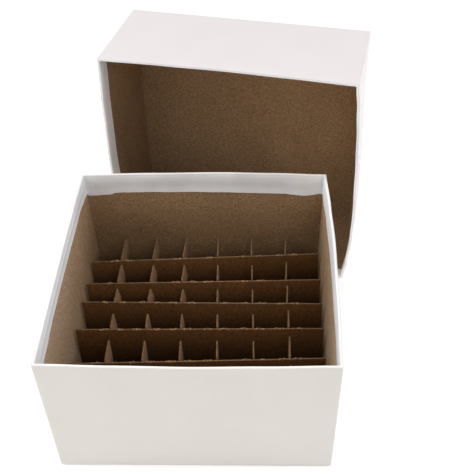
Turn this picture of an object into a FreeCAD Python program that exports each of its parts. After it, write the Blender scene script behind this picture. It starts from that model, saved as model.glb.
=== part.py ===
"""Cryogenic storage box: a paper-wrapped chipboard tray with a 7 x 7 strip divider, and its lid.

The tray stands on the origin, with its floor on z = 0. The lid stands on one of its side walls
behind the tray, its open side turned towards the tray. Lengths are millimetres, angles degrees.
"""
import FreeCAD, Part
import os
from math import cos, radians, sqrt, tan

V = FreeCAD.Vector

# Stock
BOARD = 0.9            # chipboard thickness
PAPER = 0.15           # wrap paper thickness
STAY_GAP = 0.2         # room between board and outer paper, which the corner stays lie in
STAY = 0.1             # corner stay thickness
GLUE = 0.03            # glue line between any other two layers
MITRE_GAP = 0.02       # daylight between two panels at a folded corner
LEAST_BOW = 0.01       # a bowed wall keeps this bow at its foot, so that its outline stays an arc
STAY_LEG = 14.0        # reach of a corner stay along each wall
STAY_INSET = PAPER + (STAY_GAP - STAY) / 2
STAY_START = 2.0       # a stay starts this high and ends STAY_END below the rim
STAY_END = 1.0
STAY_COLUMNS = 2       # facets of a stay along each leg, and up its height
STAY_ROWS = 8

# Tray and lid: outer side, outer depth, turn-in depth and how far each rim bows out at its middle
TRAY = {"side": 133.0, "depth": 77.2, "turn_in": 13.6,
        "bow": {"front": 1.7, "right": 2.0, "back": 3.3, "left": 1.0}}
LID = {"side": 136.2, "depth": 58.4, "turn_in": 14.0,
       "bow": {"lower": 0.0, "right": 5.2, "upper": 0.9, "left": 2.4}}
LID_CORNER = V(-54.2, 89.4, 0)     # rim corner of the lid's left and lower walls
LID_TURN = -10.5                   # turn of the standing lid about +Z

# Divider
STRIP = 0.8            # strip board thickness
STRIP_HEIGHT = 31.75
STRIP_LENGTH = 129.4
SLOT = 1.0             # width of a slot that another strip slides in
MOUTH = [(0, 4.8), (5, 2.4), (13, 2.0), (14.5, 0)]     # depth and half width of a slot's mouth
CELLS = 7
PITCH = (STRIP_LENGTH + 1.2) / CELLS
CROSS_SHIFT = -0.4     # the cross strips stand a little left of the middle
SLOT_RELIEF = 0.25     # space above a crossing, between the bottoms of the two slots

# How each strip really stands: distance of its middle from its even place, and its turn about +Z.
# Cross strips go from the back row to the front row, long strips from left to right.
CROSS_STANCE = [(0.75, 3.5), (0.15, 1.9), (2.8, -0.1), (2.8, 0.8), (0.3, 2.0), (0, 1.2)]
LONG_STANCE = [(-0.3, 1.05), (-0.5, 1.25), (-0.84, 2.2), (-0.8, 2.1), (-0.65, 1.45), (-0.4, 0.45)]

WALL_TURN = {"front": 0, "right": 90, "back": 180, "left": 270,
             "lower": 0, "upper": 180}


def wall_outline(side, inset, thickness, bow, z):
    """Closed outline, at height z, of one layer of a wall: two equal arcs joined by mitred ends.

    inset is the distance from the tray's outer face to the layer's outer face.
    """
    outer = side / 2 - inset
    inner = outer - thickness
    half_out = outer - MITRE_GAP
    half_in = inner - MITRE_GAP
    corners = [V(-half_out, -outer, z), V(half_out, -outer, z),
               V(half_in, -inner, z), V(-half_in, -inner, z)]
    if not bow:
        return Part.makePolygon(corners + corners[:1])
    out_edge = Part.Arc(corners[0], V(0, -outer - bow, z), corners[1]).toShape()
    in_edge = Part.Arc(corners[2], V(0, -inner - bow, z), corners[3]).toShape()
    right_end = Part.makeLine(corners[1], corners[2])
    left_end = Part.makeLine(corners[3], corners[0])
    return Part.Wire([out_edge, right_end, in_edge, left_end])


def layer(box, bow, inset, thickness, low, high):
    """One layer of the wall that faces -Y. It bows out in proportion to its height."""
    wires = []
    for z in (low, high):
        bow_here = max(bow * z / box["depth"], LEAST_BOW) if bow else 0
        wires.append(wall_outline(box["side"], inset, thickness, bow_here, z))
    return Part.makeLoft(wires, True, True)


def wall_board(box, bow):
    return layer(box, bow, PAPER + STAY_GAP, BOARD, PAPER + GLUE, box["depth"] - PAPER - GLUE)


def wall_wrap(box, bow):
    """Paper on the outside of a wall, folded over the rim and turned in on the inside."""
    back_of_turn_in = PAPER + STAY_GAP + BOARD + GLUE
    whole = layer(box, bow, 0, back_of_turn_in + PAPER, 0, box["depth"])
    board_room = layer(box, bow, PAPER, back_of_turn_in - PAPER, 0, box["depth"] - PAPER)
    open_inside = layer(box, bow, back_of_turn_in - GLUE, 3.0, 0, box["depth"] - box["turn_in"])
    return whole.cut(board_room).cut(open_inside)


def plate(half, low, thickness):
    return Part.makeBox(2 * half, 2 * half, thickness, V(-half, -half, low))


def bow_at(box, bow, reach, z):
    """How far a wall stands out, at this height and this far in from its corner."""
    if not bow:
        return 0
    half = box["side"] / 2
    rim_bow = max(bow * z / box["depth"], LEAST_BOW)
    radius = (half ** 2 + rim_bow ** 2) / (2 * rim_bow)
    return sqrt(radius ** 2 - (half - reach) ** 2) - radius + rim_bow


def corner_stay(box, first_bow, second_bow):
    """Paper stay folded round the corner of the walls that face -Y (its right end) and +X.

    Small flat facets follow both bowed walls, half way between the board and the outer paper.
    """
    out = box["side"] / 2 - STAY_INSET
    reaches = [STAY_LEG * k / STAY_COLUMNS for k in range(STAY_COLUMNS + 1)]
    low, high = STAY_START, box["depth"] - STAY_END
    heights = [low + (high - low) * k / STAY_ROWS for k in range(STAY_ROWS + 1)]
    rings = []
    for z in heights:
        sides = []
        for inset in (out, out - STAY):
            first = [V(inset - reach, -inset - bow_at(box, first_bow, reach, z), z)
                     for reach in reversed(reaches[1:])]
            second = [V(inset + bow_at(box, second_bow, reach, z), reach - inset, z)
                      for reach in reaches[1:]]
            sides.append(first + [V(inset, -inset, z)] + second)
        rings.append(sides[0] + sides[1][::-1])
    count = len(rings[0])
    triangles = []
    for lower, upper in zip(rings, rings[1:]):
        for k in range(count):
            after = (k + 1) % count
            triangles += [(lower[k], lower[after], upper[after]), (lower[k], upper[after], upper[k])]
    for ring in (rings[0], rings[-1]):
        for k in range(count // 2 - 1):
            far = count - 1 - k
            triangles += [(ring[k], ring[k + 1], ring[far - 1]), (ring[k], ring[far - 1], ring[far])]
    faces = [Part.Face(Part.makePolygon([a, b, c, a])) for a, b, c in triangles]
    return Part.Solid(Part.Shell(faces))


def corner_stays(box):
    """Four L-shaped paper stays, glued round the outside of the board's corners."""
    bows = list(box["bow"].values())
    stays = []
    for k, bow in enumerate(bows):
        stay = corner_stay(box, bow, bows[(k + 1) % len(bows)])
        stays.append(turn(stay, 90 * k))
    return Part.makeCompound(stays)


def turn(shape, angle):
    turned = shape.copy()
    turned.rotate(V(0, 0, 0), V(0, 0, 1), angle)
    return turned


def tray(box, prefix, floor_name):
    """Nodes of one wrapped board tray that opens upwards, with its closed face on z = 0."""
    half = box["side"] / 2
    nodes = {
        prefix + floor_name + "_board": plate(half - PAPER - STAY_GAP - BOARD - MITRE_GAP,
                                              PAPER + GLUE, BOARD),
        prefix + floor_name + "_wrap": plate(half - PAPER - MITRE_GAP, 0, PAPER),
        prefix + "corner_stays": corner_stays(box),
    }
    for wall, bow in box["bow"].items():
        nodes[prefix + wall + "_board"] = turn(wall_board(box, bow), WALL_TURN[wall])
        nodes[prefix + wall + "_wrap"] = turn(wall_wrap(box, bow), WALL_TURN[wall])
    return nodes


def stand_lid(shape):
    """Lay the lid on its lower wall, turn it, and put its rim corner at LID_CORNER."""
    stood = shape.copy()
    half = LID["side"] / 2
    stood.translate(V(half, half, -LID["depth"]))
    stood.rotate(V(0, 0, 0), V(1, 0, 0), 90)
    stood.rotate(V(0, 0, 0), V(0, 0, 1), LID_TURN)
    stood.translate(LID_CORNER)
    return stood


def strip_blank():
    """A strip along X, standing on z = 0."""
    return Part.makeBox(STRIP_LENGTH, STRIP, STRIP_HEIGHT, V(-STRIP_LENGTH / 2, -STRIP / 2, 0))


def slot_cutter(low, high):
    return Part.makeBox(SLOT, STRIP + 4, high - low, V(-SLOT / 2, -STRIP / 2 - 2, low))


def mouth_cutter():
    """Flared mouth that leads a cross strip into its slot in a long strip."""
    right = [V(half_width, -3, STRIP_HEIGHT - depth) for depth, half_width in MOUTH]
    left = [V(-point.x, point.y, point.z) for point in reversed(right[:-1])]
    outline = Part.makePolygon(right + left + right[:1])
    return Part.Face(outline).extrude(V(0, 6, 0))


def even_places():
    """Even spacing of the strips that part the tray into CELLS rows."""
    return [(k + 1 - CELLS / 2) * PITCH for k in range(CELLS - 1)]


def crossing(x, long_angle, y, cross_angle):
    """Where two strips cross, measured along the cross strip and along the long strip."""
    lean, slope = tan(radians(long_angle)), tan(radians(cross_angle))
    cross_y = (y + slope * (x - CROSS_SHIFT)) / (1 + slope * lean)
    cross_x = x - lean * cross_y
    return (cross_x - CROSS_SHIFT) / cos(radians(cross_angle)), cross_y / cos(radians(long_angle))


def slotted(strip, place, angle, low, high):
    """Cut a slot for a strip that crosses at this place and turn."""
    cutter = slot_cutter(low, high)
    cutter.rotate(V(0, 0, 0), V(0, 0, 1), angle)
    cutter.translate(V(place, 0, 0))
    return strip.cut(cutter)


def divider_nodes():
    floor = PAPER + GLUE + BOARD + 0.02
    middle = STRIP_HEIGHT / 2
    rows = list(reversed(even_places()))
    long_strips = [(x + shift, angle) for x, (shift, angle) in zip(even_places(), LONG_STANCE)]
    cross_strips = [(y + shift, angle) for y, (shift, angle) in zip(rows, CROSS_STANCE)]
    nodes = {}
    for number, (y, angle) in enumerate(cross_strips, start=1):
        strip = strip_blank()
        for x, long_angle in long_strips:
            place = crossing(x, long_angle, y, angle)[0]
            strip = slotted(strip, place, long_angle - angle, -1, middle + SLOT_RELIEF)
        strip.rotate(V(0, 0, 0), V(0, 0, 1), angle)
        strip.translate(V(CROSS_SHIFT, y, floor))
        nodes["cross_strip_%d" % number] = strip
    for number, (x, angle) in enumerate(long_strips, start=1):
        strip = strip_blank()
        for row, (y, cross_angle) in zip(rows, cross_strips):
            place = crossing(x, angle, y, cross_angle)[1]
            strip = slotted(strip, place, cross_angle - angle, middle - SLOT_RELIEF, STRIP_HEIGHT + 1)
            mouth = mouth_cutter()
            mouth.translate(V(row, 0, 0))
            strip = strip.cut(mouth)
        strip.rotate(V(0, 0, 0), V(0, 0, 1), 90 + angle)
        strip.translate(V(x, 0, floor))
        nodes["long_strip_%d" % number] = strip
    return nodes


def export(nodes):
    os.makedirs("parts", exist_ok=True)
    for name, shape in nodes.items():
        shape.exportStep("parts/%s.step" % name)
        box = shape.BoundBox
        print("%-22s solids %d valid %s volume %9.1f  x %7.2f %7.2f  y %7.2f %7.2f  z %7.2f %7.2f" % (
            name, len(shape.Solids), shape.isValid(), shape.Volume,
            box.XMin, box.XMax, box.YMin, box.YMax, box.ZMin, box.ZMax))


lid = tray(LID, "lid_", "top")
nodes = tray(TRAY, "base_", "floor")
nodes.update({name: stand_lid(shape) for name, shape in lid.items()})
nodes.update(divider_nodes())
export(nodes)
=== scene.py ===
"""Cryogenic storage box: a paper-wrapped chipboard tray with a strip divider, and its lid behind it.

Shapes are worked out in millimetres, in the frame of the tray, of the lid or of a strip, and become
metres when a mesh is made. Places and sizes come from the CAD nodes, and how the walls, the paper
and the strips differ from flat and square was read from the photo.
"""
import bisect
import math
import random
import bmesh
import bpy
import numpy as np
from mathutils import Matrix, Vector, noise
from mathutils.geometry import delaunay_2d_cdt


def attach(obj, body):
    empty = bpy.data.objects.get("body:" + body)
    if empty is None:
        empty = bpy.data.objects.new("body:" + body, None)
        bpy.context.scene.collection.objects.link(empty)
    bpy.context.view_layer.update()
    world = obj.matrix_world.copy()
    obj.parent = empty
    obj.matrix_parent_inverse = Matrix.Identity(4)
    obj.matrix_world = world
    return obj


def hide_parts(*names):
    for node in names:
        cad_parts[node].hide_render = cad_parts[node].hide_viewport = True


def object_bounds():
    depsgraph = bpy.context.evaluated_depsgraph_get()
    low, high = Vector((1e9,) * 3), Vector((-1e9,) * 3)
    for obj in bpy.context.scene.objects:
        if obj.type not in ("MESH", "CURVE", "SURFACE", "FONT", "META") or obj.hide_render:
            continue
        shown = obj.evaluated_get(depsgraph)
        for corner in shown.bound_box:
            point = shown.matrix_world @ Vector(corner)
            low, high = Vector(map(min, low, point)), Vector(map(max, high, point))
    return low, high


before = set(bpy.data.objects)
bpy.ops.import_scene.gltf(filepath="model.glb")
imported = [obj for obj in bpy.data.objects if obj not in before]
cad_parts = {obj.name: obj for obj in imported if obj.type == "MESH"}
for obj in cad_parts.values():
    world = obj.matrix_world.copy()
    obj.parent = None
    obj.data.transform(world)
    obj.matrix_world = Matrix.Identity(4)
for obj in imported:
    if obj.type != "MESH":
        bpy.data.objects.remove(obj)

cad_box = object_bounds()

MM = 0.001
PAPER = 0.15           # thickness of the wrap paper
BOARD_OUT = 0.35       # outer face of a wall board, measured in from the outside of the wrap
BOARD_IN = 1.25        # inner face of a wall board
TURN_IN = 1.43         # inner face of the turned-in paper
EDGE_LIFT = 0.25       # how far the loose edge of the turned-in paper stands off the board
FLOOR_TOP = 1.08       # top of the floor board
CORNER = 0.9           # radius of the wrap's upright corners
HALF_SLOT = 0.5        # half the width of a slot in a divider strip
STEP = 1.5             # distance between mesh stations along a wall
ROW_STEP = 3           # distance between mesh rows up a wall
CORNER_STEPS = 6       # mesh steps round an upright corner
OUTLINE_STEP = 0.7     # distance between mesh points along the outline of a strip
SHARP_ANGLE = 35       # edges that turn by more degrees than this are not smoothed
NOISE_APART = 50       # distance in the noise between one wall and the next

# Shares of the way down the turned-in paper where it has mesh rows, close together at its soft fold
TURNED_ROWS = (0.02, 0.08, 0.13, 0.17, 0.2, 0.23, 0.26, 0.29, 0.34, 0.45, 0.6, 0.75, 0.88, 0.96, 1)

# Places of the materials on a wrap, on a board and on a strip
OUTER, TURNED = 0, 1
BOARD, HIGHLIGHT_RIDGE = 0, 1
FACE, CUT, TORN = 0, 1, 2

# The four walls, from the front round to the left: direction along the wall, direction outwards.
# The lid's walls in the same order are lower, right, upper and left.
SIDES = [((1, 0), (0, -1)), ((0, 1), (1, 0)), ((-1, 0), (0, 1)), ((0, -1), (-1, 0))]


# ---------------------------------------------------------------- reading the CAD

def points_mm(node, matrix=Matrix.Identity(4)):
    """A CAD node's points in millimetres, moved by a matrix."""
    return [matrix @ (v.co / MM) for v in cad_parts[node].data.vertices]


def extents(points):
    """Lowest and highest value of the points along X, Y and Z."""
    return [(min(p[i] for p in points), max(p[i] for p in points)) for i in range(3)]


def lid_frame():
    """Frame of the lid: X along its lower wall, Y up, Z from its closed face to its open side."""
    plate = points_mm("lid_top_wrap")
    left = min(plate, key=lambda p: p.x)
    near = min(plate, key=lambda p: p.y)
    along = Vector((near.x - left.x, near.y - left.y, 0)).normalized()
    up = Vector((0, 0, 1))
    turn = Matrix((along, up, along.cross(up))).transposed().to_4x4()
    (x0, x1), (y0, y1), (z0, _) = extents(points_mm("lid_top_wrap", turn.inverted()))
    return turn @ Matrix.Translation(((x0 + x1) / 2, (y0 + y1) / 2, z0))


def box_sizes(matrix, walls):
    """Half side, depth and the four walls' bows of the tray or the lid."""
    inverse = matrix.inverted()
    spans = [extents(points_mm(name, inverse)) for name in walls]
    half = spans[0][0][1]
    depth = spans[0][2][1]
    reach = [-spans[0][1][0], spans[1][0][1], spans[2][1][1], -spans[3][0][0]]
    return half, depth, [r - half for r in reach]


def strip_frame(node):
    """Frame of a divider strip, with its middle, length, thickness and height."""
    points = points_mm(node)
    flat = np.array([(p.x, p.y) for p in points])
    longest = np.linalg.eigh(np.cov(flat.T))[1][:, 1]
    along = Vector((*longest, 0)).normalized()
    if along.x + along.y < 0:
        along = -along
    turn = Matrix((along, Vector((-along.y, along.x, 0)), (0, 0, 1))).transposed().to_4x4()
    (u0, u1), (v0, v1), (w0, w1) = extents(points_mm(node, turn.inverted()))
    place = turn @ Matrix.Translation(((u0 + u1) / 2, (v0 + v1) / 2, w0))
    return place, u1 - u0, v1 - v0, w1 - w0


# ---------------------------------------------------------------- small helpers

def between(points, x):
    """Smooth curve through a few (position, value) points."""
    if x <= points[0][0]:
        return points[0][1]
    for (x0, y0), (x1, y1) in zip(points, points[1:]):
        if x <= x1:
            k = (x - x0) / (x1 - x0)
            return y0 + (y1 - y0) * k * k * (3 - 2 * k)
    return points[-1][1]


def wobble(x, y, z, size):
    """Soft noise between -1 and 1 with features of about one size, in millimetres."""
    return noise.noise(Vector((x / size, y / size, z / size)))


def make_piece(name, parts, matrix, materials):
    """One object from several (points, faces, material numbers) parts."""
    points, faces, numbers = [], [], []
    for part_points, part_faces, part_numbers in parts:
        first = len(points)
        points += [matrix @ Vector(p) * MM for p in part_points]
        faces += [[first + i for i in face] for face in part_faces]
        numbers += part_numbers
    mesh = bpy.data.meshes.new(name)
    mesh.from_pydata(points, [], faces)
    mesh.polygons.foreach_set("material_index", numbers)
    shape = bmesh.new()
    shape.from_mesh(mesh)
    bmesh.ops.recalc_face_normals(shape, faces=shape.faces)
    shape.to_mesh(mesh)
    shape.free()
    mesh.polygons.foreach_set("use_smooth", [True] * len(mesh.polygons))
    mesh.set_sharp_from_angle(angle=math.radians(SHARP_ANGLE))
    for material in materials:
        mesh.materials.append(material)
    piece = bpy.data.objects.new(name, mesh)
    bpy.context.scene.collection.objects.link(piece)
    return piece


def fill(outline, step):
    """Points and triangles that fill a flat outline. The outline's own points come first."""
    ring = np.array(outline)
    low, high = ring.min(0), ring.max(0)
    axes = [np.arange(low[i] + step / 2, high[i], step) for i in (0, 1)]
    grid = np.array(np.meshgrid(*axes)).reshape(2, -1).T
    after = np.roll(ring, -1, 0)
    x, y = grid[:, :1], grid[:, 1:]
    rise = np.where(after[:, 1] == ring[:, 1], 1e-9, after[:, 1] - ring[:, 1])
    crossed = (ring[:, 1] > y) != (after[:, 1] > y)
    crossed &= x < (after[:, 0] - ring[:, 0]) * (y - ring[:, 1]) / rise + ring[:, 0]
    apart = ((grid[:, None] - ring[None]) ** 2).sum(2).min(1) > (0.4 * step) ** 2
    inner = grid[(crossed.sum(1) % 2 == 1) & apart]
    places = [Vector(p) for p in np.vstack([ring, inner])]
    found = delaunay_2d_cdt(places, [], [list(range(len(ring)))], 1, 1e-6)
    origin = [ids[0] for ids in found[3]]
    return places, [[origin[i] for i in face] for face in found[2]]


# ---------------------------------------------------------------- walls

class Box:
    """The tray or the lid: its frame, its sizes and how its walls really stand.

    A station is a wall, a place from -1 to 1 along it and, round the corner at its end, a share of
    the quarter turn. Lists are by wall, in the order of SIDES. Leans are the shifts of the
    rim's corners, each at the end of its wall. Rims and edges are curves along a wall: how far the
    rim stands out and how high the edge of the turned-in paper is. Bellies are the place and size
    of a wall's swelling. Puffs are how loose the turned-in paper is, and creases how deep its soft
    fold is. Spread is how much wider the closed face is than the rim, on the right.
    """

    def __init__(self, matrix, walls, leans, rims, bellies, edges, puffs, creases, seed, spread=0):
        self.matrix = matrix
        self.half, self.depth, _ = box_sizes(matrix, walls)
        self.leans, self.rims, self.bellies, self.spread = leans, rims, bellies, spread
        self.edges, self.puffs, self.creases, self.seed = edges, puffs, creases, seed
        self.stations = []
        count = int(2 * self.half / STEP)
        for wall in range(4):
            self.stations += [(wall, 2 * i / count - 1, 0) for i in range(count + 1)]
            self.stations += [(wall, 1, i / CORNER_STEPS) for i in range(1, CORNER_STEPS)]

    def push(self, wall, across, z):
        """How far the wall stands out at a place: across is -1 to 1 along it."""
        height = z / self.depth
        rim = between(self.rims[wall], across) * height
        place, size = self.bellies[wall]
        swell = max(0, 1 - (across - place) ** 2 / (1 + abs(place)) ** 2) * (1 - across ** 4)
        return rim + size * swell * math.sin(math.pi * min(1, height) ** 1.2)

    def lean(self, station, z):
        """How far the rim's corners stand away from the square, shared out along the walls."""
        wall, across, corner = station
        before, after = self.leans[wall - 1], self.leans[wall]
        k = 1 if corner else (across + 1) / 2
        height = z / self.depth
        dx, dy = [(b + (a - b) * k) * height for b, a in zip(before, after)]
        share = (k, 1, 1 - k, 0)[wall]
        return dx + self.spread * share * (1 - height), dy

    def point(self, station, z, inset, radius):
        """Place of a station: the inset is from the outside of the wrap, the radius the corner's."""
        wall, across, corner = station
        (ax, ay), (ox, oy) = SIDES[wall]
        dx, dy = self.lean(station, z)
        half = self.half - inset
        if corner:
            angle = corner * math.pi / 2
            out, along = math.cos(angle) * radius, math.sin(angle) * radius
            middle = half - radius
            return (ax * (middle + along) + ox * (middle + out) + dx,
                    ay * (middle + along) + oy * (middle + out) + dy, z)
        along = across * (half - radius)
        out = half + self.push(wall, across, z)
        return ax * along + ox * out + dx, ay * along + oy * out + dy, z

    def ring(self, z, inset, radius):
        """All the stations' places at one height."""
        return [self.point(s, z, inset, radius) for s in self.stations]

    def edge_height(self, station):
        """Height of the ragged lower edge of the turned-in paper."""
        wall, across, corner = station
        if corner:
            ends = self.edges[wall][-1][1], self.edges[(wall + 1) % 4][0][1]
            return ends[0] + (ends[1] - ends[0]) * corner
        along, apart = across * self.half, wall * NOISE_APART
        ragged = 0.12 * wobble(along, apart, self.seed, 2.5)
        ragged += 0.3 * wobble(along, apart, self.seed + 9, 14)
        return between(self.edges[wall], across) + ragged

    def crease(self, station, k):
        """Depth of the soft fold along the turned-in paper, a share k of the way down it."""
        wall, across, corner = station
        if corner:
            return 0
        wander = wobble(across * self.half, wall * NOISE_APART, self.seed + 4, 40)
        place, width = 0.215 + 0.05 * wander, 0.035
        fade = 1 - across ** 8
        return self.creases[wall] * fade * math.exp(-((k - place) / width) ** 2)

    def edge_lift(self, station):
        """How far the lower edge of the turned-in paper stands off the board."""
        wall, across, corner = station
        return 0 if corner else EDGE_LIFT * self.puffs[wall] * (1 - across ** 6)

    def turned_point(self, station, k):
        """A place on the face of the turned-in paper, a share k of the way down it.

        The paper puffs out over its upper two thirds and lies close to the board below them.
        """
        wall, _, corner = station
        below_rim = self.depth - 1.1
        z = below_rim + (self.edge_height(station) - below_rim) * k
        x, y, _ = self.point(station, z, 0, CORNER)
        puff = max(0.02, 0.32 * math.sin(math.pi * min(1, 0.12 + 1.3 * k)))
        puff += 0.12 * wobble(x, y, z + self.seed, 17)
        puff *= 0.3 if corner else self.puffs[wall]
        puff = max(puff - self.crease(station, k), -0.05)
        return self.point(station, z, TURN_IN + puff + self.edge_lift(station) * k ** 3, 0.6)


def loops(rows, numbers):
    """Quads that join closed rows of points, with both ends filled. Numbers are per band."""
    count = len(rows[0])
    points = [p for row in rows for p in row]
    faces, chosen = [], []
    for band in range(len(rows) - 1):
        for i in range(count):
            j = (i + 1) % count
            a, b = band * count, (band + 1) * count
            faces.append([a + i, a + j, b + j, b + i])
            chosen.append(numbers[band])
    for row_number, number in ((0, numbers[0]), (len(rows) - 1, numbers[-1])):
        row = rows[row_number]
        places, triangles = fill([(p[0], p[1]) for p in row], step=5.0)
        first = len(points)
        height = row[0][2]
        points += [(p.x, p.y, height) for p in places[count:]]
        index = [row_number * count + i for i in range(count)]
        index += [first + i for i in range(len(places) - count)]
        faces += [[index[i] for i in triangle] for triangle in triangles]
        chosen += [number] * len(triangles)
    return points, faces, chosen


def wrap_part(box):
    """The wrap: one sheet over the closed face, up the walls, over the rim and turned in."""
    depth = box.depth
    fold = 0.7             # radius of the fold round the closed face
    rim = 0.9              # height of the rim's rounded band
    rim_out, rim_in = 0.4, 0.35
    glued = PAPER + 0.02   # glued face of the paper outside the board
    rows, numbers = [], []

    def add(row, number=OUTER):
        rows.append(row)
        numbers.append(number)

    for angle in range(0, 91, 15):
        a = math.radians(angle)
        inset = fold * (1 - math.sin(a))
        add(box.ring(fold * (1 - math.cos(a)), inset, max(CORNER - inset, 0.25)))
    steps = int((depth - 2) / ROW_STEP)
    for i in range(1, steps + 1):
        add(box.ring(fold + (depth - rim - fold) * i / steps, 0, CORNER))
    for angle in range(15, 91, 15):
        a = math.radians(angle)
        add(box.ring(depth - rim_out * (1 - math.sin(a)), rim_out * (1 - math.cos(a)), 0.8))
    for angle in range(0, 91, 15):
        a = math.radians(angle)
        inset = TURN_IN - rim_in * (1 - math.sin(a))
        add(box.ring(depth - rim_in * (1 - math.cos(a)), inset, 0.7), TURNED)
    add(box.ring(depth - rim, TURN_IN - 0.04, 0.6), TURNED)
    for k in TURNED_ROWS:
        add([box.turned_point(station, k) for station in box.stations], TURNED)
    add([box.point(station, box.edge_height(station), TURN_IN - PAPER + box.edge_lift(station), 0.6)
         for station in box.stations], TURNED)
    # The glued face of the sheet: up the board's inside, over its edge and down its outside
    for z, inset in ((depth - 1.2, TURN_IN - PAPER), (depth - 0.4, 1.15), (depth - PAPER, 0.8),
                     (depth - 0.4, 0.3), (depth - 1.2, glued), (depth / 2, glued), (0.8, glued)):
        add(box.ring(z, inset, 0.5))
    add(box.ring(PAPER, 0.9, 0.25))
    return loops(rows, numbers[1:])


def board_part(box):
    """The scored board: floor and four walls, folded up and butted at the corners."""
    depth = box.depth
    fold = 0.9             # radius of the fold inside, with a bead of squeezed board in its middle
    rows = []
    for angle in range(0, 91, 18):
        a = math.radians(angle)
        bead = 0.35 if 30 < angle < 60 else 0
        rows.append(box.ring(FLOOR_TOP + fold * (1 - math.cos(a)) + bead,
                             BOARD_IN + fold * (1 - math.sin(a)) + bead, 0.2))
    low, high = FLOOR_TOP + fold, depth - 0.2
    steps = int(depth / ROW_STEP)
    for i in range(1, steps + 1):
        z = low + (high - low) * i / steps
        row = []
        for station in box.stations:
            x, y, _ = box.point(station, z, 0, CORNER)
            warp = 0 if station[2] else 0.1 * wobble(x, y, z + box.seed, 22)
            row.append(box.point(station, z, BOARD_IN + warp, 0.15))
        rows.append(row)
    top, bottom = depth - 0.18, 0.18
    for z, inset, radius in ((top, BOARD_IN - 0.05, 0.15), (top, BOARD_OUT + 0.05, 0.4),
                             (depth / 2, BOARD_OUT, 0.4), (bottom + 0.07, BOARD_OUT, 0.4),
                             (bottom, BOARD_OUT + 0.1, 0.3)):
        rows.append(box.ring(z, inset, radius))
    return loops(rows, [BOARD] * (len(rows) - 1))


def stay_parts(box):
    """Four thin paper stays, each bent round one corner of the board."""
    low, high = 2, box.depth - 1
    inside, outside = 0.3, 0.2
    leg = 14
    reach = 1 - leg / box.half
    parts = []
    for corner in range(4):
        after = (corner + 1) % 4
        run = [s for s in box.stations if s[0] == corner and (s[1] > reach or s[2])]
        run += [s for s in box.stations if s[0] == after and s[1] < -reach]
        rows = [[box.point(s, z, inset, 0.6) for s in run]
                for z, inset in ((low, outside), (high, outside), (high, inside), (low, inside))]
        count = len(run)
        points = [p for row in rows for p in row]
        faces = []
        for a in range(4):
            b = (a + 1) % 4
            faces += [[a * count + i, a * count + i + 1, b * count + i + 1, b * count + i]
                      for i in range(count - 1)]
        faces += [[a * count + i for a in range(4)] for i in (0, count - 1)]
        parts.append((points, faces, [0] * len(faces)))
    return parts


def highlight_ridge_part(box):
    """A raised pale ridge beside the fold of the left wall, along its upper half: its pale colour is
    a painted highlight along the fold.
    """
    x = BOARD_IN + 1.5 - box.half
    foot = FLOOR_TOP - 0.05
    steps = 24
    points, faces = [], []
    for i in range(steps + 1):
        k = i / steps
        y = box.half * (0.93 - 0.95 * k)
        wide = 0.22 * math.sin(math.pi * (0.06 + 0.88 * k)) + 0.05
        crest = x + 0.12 * wobble(y, x, box.seed, 9) + 0.5 * k
        points += [(crest - wide, y, foot), (crest, y, FLOOR_TOP + wide), (crest + wide, y, foot)]
    for i in range(steps):
        a = 3 * i
        faces += [[a + j, a + (j + 1) % 3, a + 3 + (j + 1) % 3, a + 3 + j] for j in range(3)]
    faces += [[0, 1, 2], [3 * steps + j for j in range(3)]]
    return points, faces, [HIGHLIGHT_RIDGE] * len(faces)


# ---------------------------------------------------------------- divider strips

def finer(outline, step):
    """The outline with extra points, none further apart than a step."""
    points = []
    for (x0, y0), (x1, y1) in zip(outline, outline[1:] + outline[:1]):
        count = max(1, math.ceil(math.hypot(x1 - x0, y1 - y0) / step))
        points += [(x0 + (x1 - x0) * i / count, y0 + (y1 - y0) * i / count) for i in range(count)]
    return points


def inset_outline(outline, distance):
    """The outline moved inwards. It runs anticlockwise."""
    moved = []
    for before, here, after in zip(outline[-1:] + outline[:-1], outline, outline[1:] + outline[:1]):
        along = Vector((after[0] - before[0], after[1] - before[1]))
        if along.length < 1e-6:
            moved.append(here)
            continue
        along.normalize()
        moved.append((here[0] - along.y * distance, here[1] + along.x * distance))
    return moved


def strip_part(outline, thickness, seed, aside=None):
    """A die-cut strip with slightly rough, softened edges.

    Aside is a function of a place on the strip: how far it stands to the right of a flat strip.
    """
    half, soft = thickness / 2, 0.1
    rough = [(u + 0.05 * wobble(u, w, seed, 1.3), w + 0.05 * wobble(w, u, seed + 5, 1.3))
             for u, w in finer(outline, OUTLINE_STEP)]
    places, triangles = fill(inset_outline(rough, soft), step=2.5 if aside else 4.0)

    def bend(u, w):
        return 0.1 * wobble(u, w, seed, 30) - (aside(u, w) if aside else 0)

    count, total = len(rough), len(places)
    points = [(p.x, bend(p.x, p.y) - half, p.y) for p in places]
    points += [(p.x, bend(p.x, p.y) + half, p.y) for p in places]
    points += [(u, bend(u, w) - half + soft, w) for u, w in rough]
    points += [(u, bend(u, w) + half - soft, w) for u, w in rough]
    faces = [list(t) for t in triangles] + [[i + total for i in reversed(t)] for t in triangles]
    numbers = [FACE] * len(faces)
    near, far = 2 * total, 2 * total + count
    for i in range(count):
        j = (i + 1) % count
        faces += [[i, j, near + j, near + i], [near + i, near + j, far + j, far + i],
                  [far + i, far + j, total + j, total + i]]
        numbers += [CUT] * 3
    return points, faces, numbers


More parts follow.
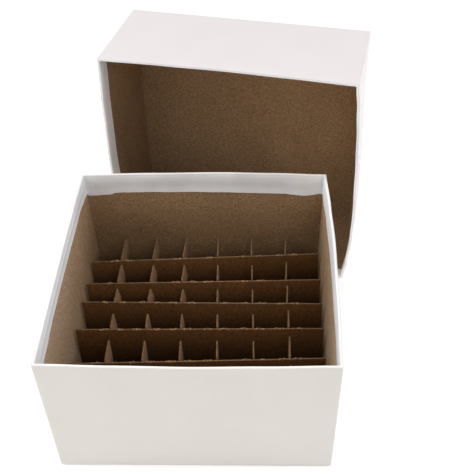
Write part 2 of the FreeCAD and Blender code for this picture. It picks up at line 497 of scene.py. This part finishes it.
def tab_shift(length, height, slots, twists):
    """How far a place on a long strip stands to the right, where its tabs are twisted and lean.

    Twists are of the tab beyond each slot, from the front: how far its far side turns right and its
    near side left. They grow over 4 mm above the foot of the slots. The whole tab leans left, by
    most of its twist at the top edge.
    """
    def aside(u, w):
        tab = bisect.bisect(slots, u) - 1
        if tab < 0:
            return 0
        start, stop = (slots + [length / 2])[tab:tab + 2]
        across = 2 * (u - start) / (stop - start) - 1
        above = w - height / 2
        free = min(1, max(0, (above - 0.4) / 4))
        lean = min(1, max(0, (above - 2) / 14))
        return twists[tab] * (across * free * free * (3 - 2 * free) - 0.85 * lean)

    return aside


def tuft_part(middle, length, height, chance):
    """Torn fibre on the top edge of a strip: a row of small ragged lumps."""
    points, faces = [], []
    u = middle - length / 2
    while u < middle + length / 2:
        reach = chance.uniform(0.35, 0.9)
        k = abs(u - middle) / (length / 2)
        tall = chance.uniform(0.25, 1.1) * (1.1 - 0.6 * k * k)
        wide = chance.uniform(0.35, 0.6)
        lean = chance.uniform(-0.25, 0.25)
        first = len(points)
        for along, size in ((-0.6, 0.3), (-0.25, 1), (0.25, 0.9), (0.6, 0.25)):
            rise = height - 0.1 + tall * size * chance.uniform(0.8, 1.2)
            spot = u + along * reach
            points += [(spot, -wide * size + lean, height - 0.25),
                       (spot, -wide * size * 0.8 + lean, (height - 0.1 + rise) / 2),
                       (spot + lean * 0.6, lean, rise),
                       (spot, wide * size * 0.8 + lean, (height - 0.1 + rise) / 2),
                       (spot, wide * size + lean, height - 0.25)]
        for ring in range(3):
            a = first + 5 * ring
            faces += [[a + j, a + (j + 1) % 5, a + 5 + (j + 1) % 5, a + 5 + j] for j in range(5)]
        faces += [[first + j for j in range(5)], [first + 15 + j for j in range(5)]]
        u += reach * chance.uniform(0.6, 1.5)
    return points, faces, [TORN] * len(faces)


def cross_outline(length, height, slots, seed):
    """Outline of a cross strip: slots open at the bottom, an unbroken top edge."""
    end, middle = length / 2, height / 2 + 0.25
    outline = [(-end, 0)]
    for u in sorted(slots):
        outline += [(u - HALF_SLOT, 0), (u - HALF_SLOT, middle),
                    (u + HALF_SLOT, middle), (u + HALF_SLOT, 0)]
    outline += [(end, 0), (end, height - 0.3), (end - 0.3, height)]
    count = int(length / 2)     # the top edge waves a little, with a point about every 2 mm
    for i in range(1, count):
        u = end - length * i / count
        outline.append((u, height + 0.16 * wobble(u, seed, 1, 9)))
    outline += [(0.3 - end, height), (-end, height - 0.3)]
    return outline


def long_outline(length, height, slots, mouths):
    """Outline of a long strip: slots open at the top, each in a mouth that flares to its near side.

    A mouth is its middle, how far it reaches towards the near end at its top and at its foot, and
    the depth of that foot. The sides of a mouth are places beside it and depths below the top edge.
    """
    end, middle = length / 2, height / 2 - 0.25
    outline = [(-end, 0), (end, 0), (end, height - 1.2), (end - 0.4, height - 0.3),
               (end - 1.3, height)]
    far = [(1.7, 0.02), (1.3, 0.4), (0.9, 2), (0.7, 13)]
    for slot, (mouth, top_reach, deep_reach, foot) in sorted(zip(slots, mouths), reverse=True):
        near = [(top_reach + 0.7, 0.02), (top_reach - 0.2, 0.5),
                (top_reach * 0.85 + deep_reach * 0.15, 2.5),
                (top_reach * 0.5 + deep_reach * 0.5, 7.5), (deep_reach, 14.6), (deep_reach, foot)]
        right = [(slot + u, height - w) for u, w in far]
        left = [(mouth - u, height - w) for u, w in reversed(near) if mouth - u < slot - 0.6]
        outline += right + [(slot + HALF_SLOT, height - 15), (slot + HALF_SLOT, middle)]
        outline += [(slot - HALF_SLOT, middle), (slot - HALF_SLOT, left[0][1] - 0.4)] + left
    outline += [(1.3 - end, height), (0.4 - end, height - 0.3), (-end, height - 1.2)]
    return outline


# ---------------------------------------------------------------- materials

class Shader:
    """A small builder of node materials."""

    def __init__(self, name):
        self.material = bpy.data.materials.new(name)
        self.material.use_nodes = True
        self.tree = self.material.node_tree
        self.surface = self.tree.nodes["Principled BSDF"]
        self.place = self.node("ShaderNodeTexCoord").outputs["Object"]

    def node(self, kind, links=None, **settings):
        """A new node: each of its inputs is linked to a socket or set to a value."""
        made = self.tree.nodes.new(kind)
        for key, value in settings.items():
            setattr(made, key, value)
        for socket, value in (links or {}).items():
            if isinstance(value, bpy.types.NodeSocket):
                self.tree.links.new(value, made.inputs[socket])
            else:
                made.inputs[socket].default_value = value
        return made

    def noise(self, size_mm, detail=3, stretch=(1, 1, 1), roughness=0.5):
        """Noise whose features are about this size, between 0 and 1."""
        mapped = self.node("ShaderNodeMapping", {"Vector": self.place, "Scale": stretch})
        made = self.node("ShaderNodeTexNoise", {"Vector": mapped.outputs[0], "Detail": detail,
                                                "Scale": 1 / (size_mm * MM), "Roughness": roughness})
        return made.outputs["Fac"]

    def range(self, value, low, high, to_low, to_high):
        """The value, with low to high stretched to other limits."""
        made = self.node("ShaderNodeMapRange", {0: value, 1: low, 2: high, 3: to_low, 4: to_high})
        return made.outputs[0]

    def mix(self, factor, first, second, blend="MIX"):
        """Two colours mixed, the second in the share of the factor."""
        made = self.node("ShaderNodeMix", data_type="RGBA", blend_type=blend)
        for number, value in ((0, factor), (6, first), (7, second)):
            if isinstance(value, bpy.types.NodeSocket):
                self.tree.links.new(value, made.inputs[number])
            else:
                made.inputs[number].default_value = value
        return made.outputs[2]

    def painted_shade_ramp(self, colour, axis, low_mm, high_mm, at_low, at_high):
        """The colour multiplied by painted light and shade that changes between two places along one
        axis.
        """
        along = self.node("ShaderNodeSeparateXYZ", {0: self.place}).outputs[axis]
        amount = self.range(along, low_mm * MM, high_mm * MM, 0, 1)
        return self.mix(1.0, colour, self.mix(amount, at_low + (1,), at_high + (1,)), "MULTIPLY")

    def bump(self, height, distance_mm, strength=1.0, under=None):
        """Surface normal for a relief, laid over another one."""
        links = {"Height": height, "Distance": distance_mm * MM, "Strength": strength}
        if under:
            links["Normal"] = under
        return self.node("ShaderNodeBump", links).outputs[0]

    def finish(self, colour, roughness, normal):
        """The material, once its surface has these three."""
        self.tree.links.new(colour, self.surface.inputs["Base Color"])
        self.tree.links.new(roughness, self.surface.inputs["Roughness"])
        self.tree.links.new(normal, self.surface.inputs["Normal"])
        return self.material


def rgb(red, green, blue):
    """Linear colour from 0-255 screen values."""
    return tuple(((c / 255 + 0.055) / 1.055) ** 2.4 for c in (red, green, blue)) + (1,)


def paper_material(name, bright, dull, patches, painted_shading=()):
    """Smooth white paper. Patches is how strong its soft blotches are: glue and board showing
    through it, and on the turned-in paper also painted shade of its loose, wavy paper.
    """
    shader = Shader(name)
    soft = shader.noise(26, 2)
    cloud = shader.noise(7, 3)
    fibre = shader.noise(0.45, 4, roughness=0.7)
    amount = shader.range(soft, 0.42, 0.62, 0, patches)
    colour = shader.mix(amount, bright, dull)
    colour = shader.mix(shader.range(cloud, 0.35, 0.7, 0, patches * 0.4), colour, dull)
    colour = shader.mix(shader.range(fibre, 0.3, 0.7, 0.06, 0), colour, dull)
    # Painted light and shade: ramps along the axes make the paper brighter or darker as light falls
    # on it
    for painted_shade_ramp in painted_shading:
        colour = shader.painted_shade_ramp(colour, *painted_shade_ramp)
    roughness = shader.range(cloud, 0.3, 0.7, 0.44, 0.56)
    shader.surface.inputs["Specular IOR Level"].default_value = 0.35
    under = shader.bump(soft, 0.25 * patches, 0.5)
    return shader.finish(colour, roughness, shader.bump(fibre, 0.012, 0.6, under))


def board_material(name, dark, middle, light, stretch=(1, 1, 1), grain=1.0, painted_shading=()):
    """Grey-brown chipboard: mottled, with dark specks and pale fibres."""
    shader = Shader(name)
    shade = shader.noise(24, 2)
    mottle = shader.noise(1.2, 5, stretch, 0.65)
    speck = shader.noise(0.55, 3, roughness=0.6)
    fibre = shader.noise(0.8, 2, stretch)
    colour = shader.mix(shader.range(mottle, 0.36, 0.66, 0, 1), dark, middle)
    colour = shader.mix(shader.range(speck, 0.52, 0.72, 0, 0.55 * grain), colour, light)
    colour = shader.mix(shader.range(speck, 0.46, 0.3, 0, 0.7 * grain), colour, dark)
    colour = shader.mix(shader.range(fibre, 0.6, 0.75, 0, 0.35 * grain), colour, light)
    tone = shader.range(shade, 0.3, 0.7, 0.93, 1.06)
    grey = shader.node("ShaderNodeCombineColor", {0: tone, 1: tone, 2: tone}).outputs[0]
    colour = shader.mix(1.0, colour, grey, "MULTIPLY")
    # Painted light and shade: ramps along the axes make the board brighter or darker as light falls
    # on it
    for painted_shade_ramp in painted_shading:
        colour = shader.painted_shade_ramp(colour, *painted_shade_ramp)
    roughness = shader.range(speck, 0.3, 0.7, 0.82, 0.95)
    shader.surface.inputs["Specular IOR Level"].default_value = 0.2
    under = shader.bump(mottle, 0.05, 0.7)
    return shader.finish(colour, roughness, shader.bump(speck, 0.03, 0.8, under))


# Tints are painted light and shade that follow the shading in the photo: brighter or darker towards
# a side, the front, the back or the floor. Each is an axis, the places along it where it starts and
# ends, in millimetres, and its colour at each of them.
tray_paper = paper_material("tray_paper", rgb(225, 220, 213), rgb(208, 203, 197), 0.08)
lid_paper = paper_material("lid_paper", rgb(225, 219, 219), rgb(208, 203, 202), 0.08)
# The turned-in paper is the same sheet as the outer paper, painted much brighter as painted light
# inside the walls. Its ramps along X paint the turn-ins of some walls darker and bluer and of others
# warmer, as painted shade and light, and its strong patches are partly painted shade of the loose
# paper.
turned_paper_painted_light = paper_material(
    "turned_in_paper_painted_light", rgb(250, 248, 247), rgb(226, 223, 221), 0.45,
    painted_shading=[(0, -64.5, -63.5, (0.96, 0.985, 1.02), (1, 1, 1)),
           (0, 49.8, 50.4, (1, 1, 1), (1.03, 1.025, 0.995)),
           (0, 63.4, 64.4, (1, 1, 1), (0.93, 0.96, 1.02))])
stay_paper = paper_material("stay_paper", rgb(190, 165, 130), rgb(165, 140, 108), 0.5)
# Painted light and shade on the tray's board: brighter and bluer towards the front, darker towards
# the back and towards the floor, lighter and bluer on the left and right walls.
wall_board = board_material(
    "wall_board", rgb(139, 108, 79), rgb(179, 146, 112), rgb(217, 185, 147),
    painted_shading=[(1, -60, 65, (1.3, 1.42, 1.62), (0.95, 0.93, 0.88)),
           (2, 33, 66, (0.6, 0.58, 0.54), (1, 1, 1)),
           (0, -64.5, -63, (1.04, 1.09, 1.18), (1, 1, 1)),
           (0, 63, 64.5, (1, 1, 1), (1.08, 1.14, 1.2))])
# Painted light and shade on the lid's board: darker towards the bottom of the standing lid and
# towards its left, brighter towards its right.
lid_board = board_material(
    "lid_board", rgb(144, 112, 79), rgb(185, 149, 109), rgb(224, 188, 144), grain=0.7,
    painted_shading=[(2, 20, 100, (0.6, 0.62, 0.65), (1, 1, 1)),
           (0, -50, 60, (0.84, 0.84, 0.88), (1.2, 1.18, 1.16))])
# The cross strips and the long strips are one board, painted as shaded and lit copies: the cross
# strips' faces darker, as they get less light, and darker towards the floor of the cells as painted
# shade.
strip_board = board_material(
    "strip_board", rgb(97, 63, 33), rgb(126, 86, 47), rgb(157, 114, 68), (1, 1, 0.5),
    painted_shading=[(2, 6, 33, (0.3, 0.26, 0.2), (1, 1, 1))])
# Lit copy of the strip board: the long strips' sides are painted lighter and greyer as painted light
# from the side lamps, and darker towards the floor of the cells as painted shade.
long_board_painted_light = board_material(
    "long_strip_board", rgb(114, 86, 60), rgb(144, 112, 82), rgb(174, 141, 108), (1, 1, 0.5),
    painted_shading=[(2, 6, 26, (0.45, 0.42, 0.38), (1, 1, 1))])
# Cut edges in their own colour, painted darker towards the floor of the cells as painted shade.
cut_edge = board_material("cut_edge", rgb(92, 69, 49), rgb(124, 97, 72), rgb(170, 137, 105),
                          grain=1.3, painted_shading=[(2, 4, 26, (0.2, 0.17, 0.13), (1, 1, 1))])
# Torn fibre on the strips' top edges, in its own pale colour; the lid's ridge uses it too, as a
# painted highlight along its fold.
torn_fibre_and_highlight = board_material("torn_fibre_and_highlight", rgb(144, 110, 76), rgb(178, 142, 102),
                            rgb(216, 182, 140), grain=1.5)


# ---------------------------------------------------------------- tray and lid

def arc_rim(peak, place=0.0):
    """Rim that bows out by a peak at one place and not at all at its ends."""
    return [(-1, 0), ((place - 1) / 2, peak * 0.62), (place, peak), ((place + 1) / 2, peak * 0.62),
            (1, 0)]


tray_walls = ["base_front_wrap", "base_right_wrap", "base_back_wrap", "base_left_wrap"]
lid_walls = ["lid_lower_wrap", "lid_right_wrap", "lid_upper_wrap", "lid_left_wrap"]
lid_place = lid_frame()

tray_bows = box_sizes(Matrix.Identity(4), tray_walls)[2]
tray = Box(
    Matrix.Identity(4), tray_walls,
    leans=[(0.4, -0.55), (0.8, 2.0), (-1.9, 1.0), (-0.3, -0.5)],
    rims=[arc_rim(tray_bows[0] - 0.5), arc_rim(tray_bows[1] - 0.5, 0.2),
          arc_rim(tray_bows[2] - 1.4, -0.15), arc_rim(tray_bows[3] - 0.5, -0.2)],
    bellies=[(0, 0.15), (0, 0.2), (0, 0.3), (0, 0.2)],
    edges=[[(-1, 64.5), (-0.5, 65), (0.5, 64.8), (1, 64)],
           [(-1, 67), (-0.3, 66), (0.2, 65), (0.7, 66), (1, 64.2)],
           [(-1, 64.4), (-0.86, 63.0), (-0.65, 64.1), (-0.2, 64.4), (0.4, 65), (0.76, 64.9),
            (0.82, 63.8), (1, 63.2)],
           [(-1, 64.4), (-0.9, 66), (-0.7, 67.8), (-0.3, 67.6), (0.4, 68), (0.8, 66.5),
            (1, 64.5)]],
    puffs=[1, 1, 1, 1],
    creases=[0, 0.24, 0, 0.28],
    seed=3)
lid_bows = box_sizes(lid_place, lid_walls)[2]
lid = Box(
    lid_place, lid_walls,
    leans=[(2.0, 0), (0.4, 0), (-1.5, 0), (-0.8, 0)],
    rims=[arc_rim(lid_bows[0]),
          [(-1, 0), (-0.8, 1.9), (-0.55, 3.2), (-0.25, 3.6), (0.15, 3.1), (0.5, 2.3),
           (0.8, 1.2), (1, 0)],
          arc_rim(lid_bows[2]), arc_rim(lid_bows[3] - 0.4)],
    bellies=[(0, 0), (-0.3, 1.5), (0, 0.3), (0, 0.9)],
    edges=[[(-1, 44.5), (0, 45), (0.7, 46), (1, 52)], [(-1, 52), (-0.6, 46), (0.2, 45.2), (1, 44)],
           [(-1, 44.2), (0, 44.8), (1, 44.5)], [(-1, 49.5), (0, 48.9), (1, 49.2)]],
    puffs=[0.6, 0, 0.6, 0.6],
    creases=[0, 0, 0, 0],
    seed=31,
    spread=1.3)


def add_box(box, name, walls, body, floor, paper, board):
    """Wrap, board and corner stays of the tray or the lid."""
    board_parts = [board_part(box)] + ([highlight_ridge_part(box)] if box is lid else [])
    wrap = make_piece(name + "_wrap", [wrap_part(box)], box.matrix, [paper, turned_paper_painted_light])
    boards = make_piece(name + "_board", board_parts, box.matrix, [board, torn_fibre_and_highlight])
    stays = make_piece(name + "_stays", stay_parts(box), box.matrix, [stay_paper])
    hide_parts(floor + "_wrap", *walls)
    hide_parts(floor + "_board", *[wall.replace("_wrap", "_board") for wall in walls])
    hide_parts(body + "_corner_stays")
    for piece, slot in ((wrap, name + "_paper"), (boards, name + "_board"), (stays, "stay_paper")):
        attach(piece, body)


add_box(tray, "tray", tray_walls, "base", "base_floor", tray_paper, wall_board)
add_box(lid, "lid", lid_walls, "lid", "lid_top", lid_paper, lid_board)


# ---------------------------------------------------------------- divider

long_names = ["long_strip_%d" % k for k in range(1, 7)]
cross_names = ["cross_strip_%d" % k for k in range(1, 7)]
strips = {name: strip_frame(name) for name in long_names + cross_names}
first_x, last_x = [strips[name][0].translation.x for name in (long_names[0], long_names[-1])]
pitch = (last_x - first_x) / (len(long_names) - 1)
rows_y = sum(strips[name][0].translation.y for name in long_names) / len(long_names)


def crossing(long_name, cross_name):
    """Where two strips cross: distance along the long one and along the cross one."""
    long_place, cross_place = strips[long_name][0], strips[cross_name][0]
    origin, along = long_place.translation, long_place.to_3x3().col[0]
    other, across = cross_place.translation, cross_place.to_3x3().col[0]
    gap = other - origin
    turn = along.x * across.y - along.y * across.x
    return ((gap.x * across.y - gap.y * across.x) / turn, (gap.x * along.y - gap.y * along.x) / turn)


# Near side of each row's mouths, from the front row: reach at the top, reach and depth of the foot
near_sides = [(5, 3, 15.4), (5, 3, 15.4), (5, 4.6, 24), (5.2, 2.2, 21), (5.3, 0.8, 15.4),
              (5, 0.7, 15.4)]
twist_shares = [0, 0.2, 0.3, 1, 1, 1]     # of the tabs behind each row, from the front row

# Of each long strip, from the left: the twist of its tabs, and how much less its mouths reach
tab_twists = [0.3, 0.5, 0.75, 0.2, 0.1, 0.4]
smaller_mouths = [0, 0, 0, 0, 0, 3.2]

for number, name in enumerate(long_names):
    place, length, thickness, height = strips[name]
    slots = [crossing(name, other)[0] for other in reversed(cross_names)]
    mouths = []
    for row, (top_reach, deep_reach, foot) in enumerate(near_sides):
        mouth = rows_y - place.translation.y + (row - 2.5) * pitch
        mouths.append((mouth, top_reach - smaller_mouths[number], deep_reach, foot))
    outline = long_outline(length, height, slots, mouths)
    aside = tab_shift(length, height, slots, [tab_twists[number] * s for s in twist_shares])
    part = strip_part(outline, thickness, 60 + number, aside=aside)
    piece = make_piece("divider_" + name, [part], place, [long_board_painted_light, cut_edge])
    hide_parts(name)
    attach(piece, "divider")

for number, name in enumerate(cross_names):
    place, length, thickness, height = strips[name]
    slots = [crossing(other, name)[1] for other in long_names]
    chance = random.Random(700 + number)
    seed = 80 + number
    parts = [strip_part(cross_outline(length, height, slots, seed), thickness, seed)]
    for u in slots:
        for side in (-1, 1):
            if chance.random() < 0.85:
                middle = u + side * chance.uniform(3.4, 5.6)
                parts.append(tuft_part(middle, chance.uniform(2.4, 4.8), height, chance))
    piece = make_piece("divider_" + name, parts, place, [strip_board, cut_edge, torn_fibre_and_highlight])
    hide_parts(name)
    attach(piece, name)


# ---------------------------------------------------------------- floor, light and camera

def stage_floor():
    """A pale floor that glows a little, so that it comes out white as in the photo."""
    shader = Shader("pale_floor")
    shader.surface.inputs["Emission Strength"].default_value = 0.13
    shader.surface.inputs["Emission Color"].default_value = (1, 1, 1, 1)
    cloud = shader.noise(60, 2)
    colour = shader.mix(cloud, rgb(250, 250, 250), rgb(252, 252, 252))
    material = shader.finish(colour, shader.range(cloud, 0, 1, 0.6, 0.7), shader.bump(cloud, 0.01))
    mesh = bpy.data.meshes.new("floor")
    reach, height = 3, -0.2 * MM
    corners = [(-reach, -reach), (reach, -reach), (reach, reach), (-reach, reach)]
    mesh.from_pydata([(x, y, height) for x, y in corners], [], [(0, 1, 2, 3)])
    mesh.materials.append(material)
    floor = bpy.data.objects.new("floor", mesh)
    bpy.context.scene.collection.objects.link(floor)


def area_light(name, place, target, size, power):
    """A square soft light that faces the target."""
    data = bpy.data.lights.new(name, "AREA")
    data.shape = "SQUARE"
    data.size = size
    data.energy = power
    lamp = bpy.data.objects.new(name, data)
    lamp.location = place
    lamp.rotation_mode = "QUATERNION"
    lamp.rotation_quaternion = (Vector(target) - Vector(place)).to_track_quat("-Z", "Y")
    bpy.context.scene.collection.objects.link(lamp)


stage_floor()
centre = (cad_box[0] + cad_box[1]) / 2
softbox = 0.7
area_light("left_softbox", (-0.85, 0.0, 0.75), centre, softbox, 8.55)
area_light("right_softbox", (0.9, 0.05, 0.75), centre, softbox, 6.9)
area_light("front_softbox", (0.2, -0.8, 0.95), centre, softbox, 2.9)

world = bpy.data.worlds.new("studio")
bpy.context.scene.world = world
world.use_nodes = True
backdrop = world.node_tree.nodes["Background"]
backdrop.inputs["Color"].default_value = (1, 1, 1, 1)
backdrop.inputs["Strength"].default_value = 0.38

# The camera stands, looks and is shifted as fitted to the corners of the tray and the lid
camera_data = bpy.data.cameras.new("camera")
camera_data.sensor_width = 36
camera_data.lens = 59.46
camera_data.shift_x = -0.0477
camera_data.shift_y = 0.0013
camera_data.clip_start = 0.01
camera_data.clip_end = 20
camera = bpy.data.objects.new("camera", camera_data)
bpy.context.scene.collection.objects.link(camera)
eye = (0.031195, -0.277625, 0.340776)
pitch_down, yaw, roll = math.radians(41.96), math.radians(-0.13), math.radians(0.24)
forward = Vector((math.sin(yaw) * math.cos(pitch_down), math.cos(yaw) * math.cos(pitch_down),
                  -math.sin(pitch_down)))
level = Vector((math.cos(yaw), -math.sin(yaw), 0))
upward = level.cross(forward)
right = level * math.cos(roll) + upward * math.sin(roll)
top = upward * math.cos(roll) - level * math.sin(roll)
turned = Matrix((right, top, -forward)).transposed().to_4x4()
camera.matrix_world = Matrix.Translation(eye) @ turned
bpy.context.scene.camera = camera
bpy.context.scene.view_settings.view_transform = "Standard"
